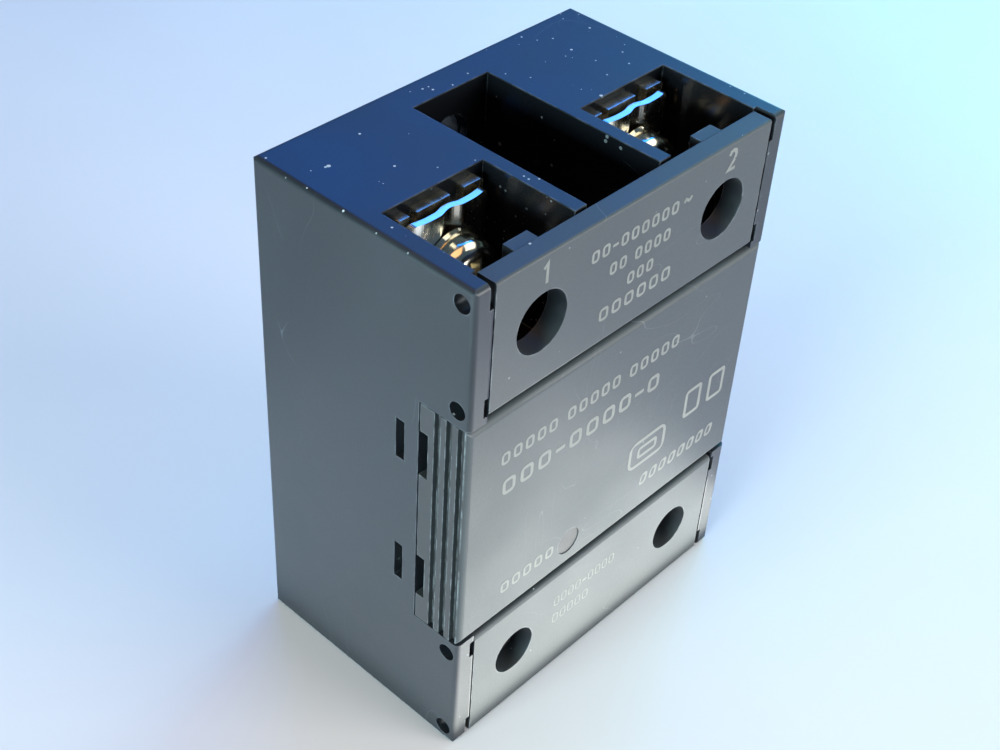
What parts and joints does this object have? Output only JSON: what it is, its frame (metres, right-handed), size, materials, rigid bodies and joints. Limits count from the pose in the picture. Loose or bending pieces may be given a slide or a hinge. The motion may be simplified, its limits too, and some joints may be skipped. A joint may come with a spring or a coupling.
{
  "type": "solid state relay",
  "caption": "Panel-mount solid state relay with hinged terminal covers, screw clamp terminals at both ends and a metal base plate for a heat sink.",
  "frame": {"origin": "centre of the foot print, on the input end face that the relay stands on", "axes": "+Z from the input end to the output end, -Y out of the front with the covers, +Y out of the base plate, +X to the right seen from the front"},
  "size_m": [0.043, 0.028, 0.0585],
  "materials": {
    "housing_plastic": "black glass-filled moulding, fine satin grain, lightly scuffed",
    "front_cover_plastic": "black moulding, satin face and rounded edges",
    "cover_plastic": "black moulding, satin",
    "window_plastic": "smoked clear plastic",
    "base_aluminium": "flat-ground plate",
    "terminal_plating": "tin-plated brass, pressed",
    "clamp_plating": "bright plated pressed steel",
    "screw_plating": "bright plated steel",
    "ceramic": "white alumina",
    "copper": "bare copper",
    "silicon": "polished silicon",
    "board_laminate": "glass-epoxy laminate, green lacquer",
    "component_black": "moulded epoxy",
    "capacitor_red": "dipped resin box",
    "resistor_green": "lacquered body",
    "varistor_blue": "dipped resin",
    "resistor_tan": "lacquered body with colour bands",
    "led_red": "tinted clear epoxy",
    "potting_resin": "cast resin",
    "print_ink": "pad-printed pale grey marks"
  },
  "bodies": {
    "body": {"housing": "housing_plastic", "front_cover": "front_cover_plastic", "light_pipe": "window_plastic", "base_plate": "base_aluminium", "output_terminal_1": "terminal_plating", "output_terminal_2": "terminal_plating", "input_terminal_1": "terminal_plating", "input_terminal_2": "terminal_plating", "ceramic_substrate": "ceramic", "substrate_copper": "copper", "thyristor_1": "silicon", "thyristor_2": "silicon", "cathode_strap_1": "copper", "cathode_strap_2": "copper", "gate_lead_1": "terminal_plating", "gate_lead_2": "terminal_plating", "circuit_board": "board_laminate", "optocoupler": "component_black", "snubber_capacitor": "capacitor_red", "snubber_resistor": "resistor_green", "varistor": "varistor_blue", "gate_resistor_1": "resistor_tan", "gate_resistor_2": "resistor_tan", "input_resistor": "resistor_tan", "input_transistor": "component_black", "input_diode": "component_black", "indicator_led": "led_red", "potting": "potting_resin"},
    "output_cover": {"output_cover": "cover_plastic"},
    "input_cover": {"input_cover": "cover_plastic"},
    "output_clamp_1": {"output_clamp_1": "clamp_plating"},
    "output_screw_1": {"output_screw_1": "screw_plating", "output_washer_1": "screw_plating"},
    "output_clamp_2": {"output_clamp_2": "clamp_plating"},
    "output_screw_2": {"output_screw_2": "screw_plating", "output_washer_2": "screw_plating"},
    "input_clamp_1": {"input_clamp_1": "clamp_plating"},
    "input_screw_1": {"input_screw_1": "screw_plating", "input_washer_1": "screw_plating"},
    "input_clamp_2": {"input_clamp_2": "clamp_plating"},
    "input_screw_2": {"input_screw_2": "screw_plating", "input_washer_2": "screw_plating"}
  },
  "joints": [
    {"name": "output_cover_hinge", "type": "hinge", "parent": "body", "child": "output_cover", "pos_m": [0, -0.01255, 0.0451], "axis": [1, 0, 0], "range_deg": [0, 100]},
    {"name": "input_cover_hinge", "type": "hinge", "parent": "body", "child": "input_cover", "pos_m": [0, -0.01255, 0.0134], "axis": [-1, 0, 0], "range_deg": [0, 100]},
    {"name": "output_clamp_1_lift", "type": "slide", "parent": "body", "child": "output_clamp_1", "axis": [0, -1, 0], "range_m": [0, 0.0035]},
    {"name": "output_screw_1_turn", "type": "hinge", "parent": "output_clamp_1", "child": "output_screw_1", "pos_m": [-0.0128, 0, 0.051], "axis": [0, -1, 0], "range_deg": [0, 1801]},
    {"name": "output_clamp_2_lift", "type": "slide", "parent": "body", "child": "output_clamp_2", "axis": [0, -1, 0], "range_m": [0, 0.0035]},
    {"name": "output_screw_2_turn", "type": "hinge", "parent": "output_clamp_2", "child": "output_screw_2", "pos_m": [0.0128, 0, 0.051], "axis": [0, -1, 0], "range_deg": [0, 1801]},
    {"name": "input_clamp_1_lift", "type": "slide", "parent": "body", "child": "input_clamp_1", "axis": [0, -1, 0], "range_m": [0, 0.003]},
    {"name": "input_screw_1_turn", "type": "hinge", "parent": "input_clamp_1", "child": "input_screw_1", "pos_m": [-0.0128, 0, 0.0078], "axis": [0, -1, 0], "range_deg": [0, 1801]},
    {"name": "input_clamp_2_lift", "type": "slide", "parent": "body", "child": "input_clamp_2", "axis": [0, -1, 0], "range_m": [0, 0.003]},
    {"name": "input_screw_2_turn", "type": "hinge", "parent": "input_clamp_2", "child": "input_screw_2", "pos_m": [0.0128, 0, 0.0078], "axis": [0, -1, 0], "range_deg": [0, 1801]}
  ],
  "couplings": [
    {"joint": "output_screw_1_turn", "follows": "output_clamp_1_lift", "rad_per_m": 8976},
    {"joint": "output_screw_2_turn", "follows": "output_clamp_2_lift", "rad_per_m": 8976},
    {"joint": "input_screw_1_turn", "follows": "input_clamp_1_lift", "rad_per_m": 10472},
    {"joint": "input_screw_2_turn", "follows": "input_clamp_2_lift", "rad_per_m": 10472}
  ]
}
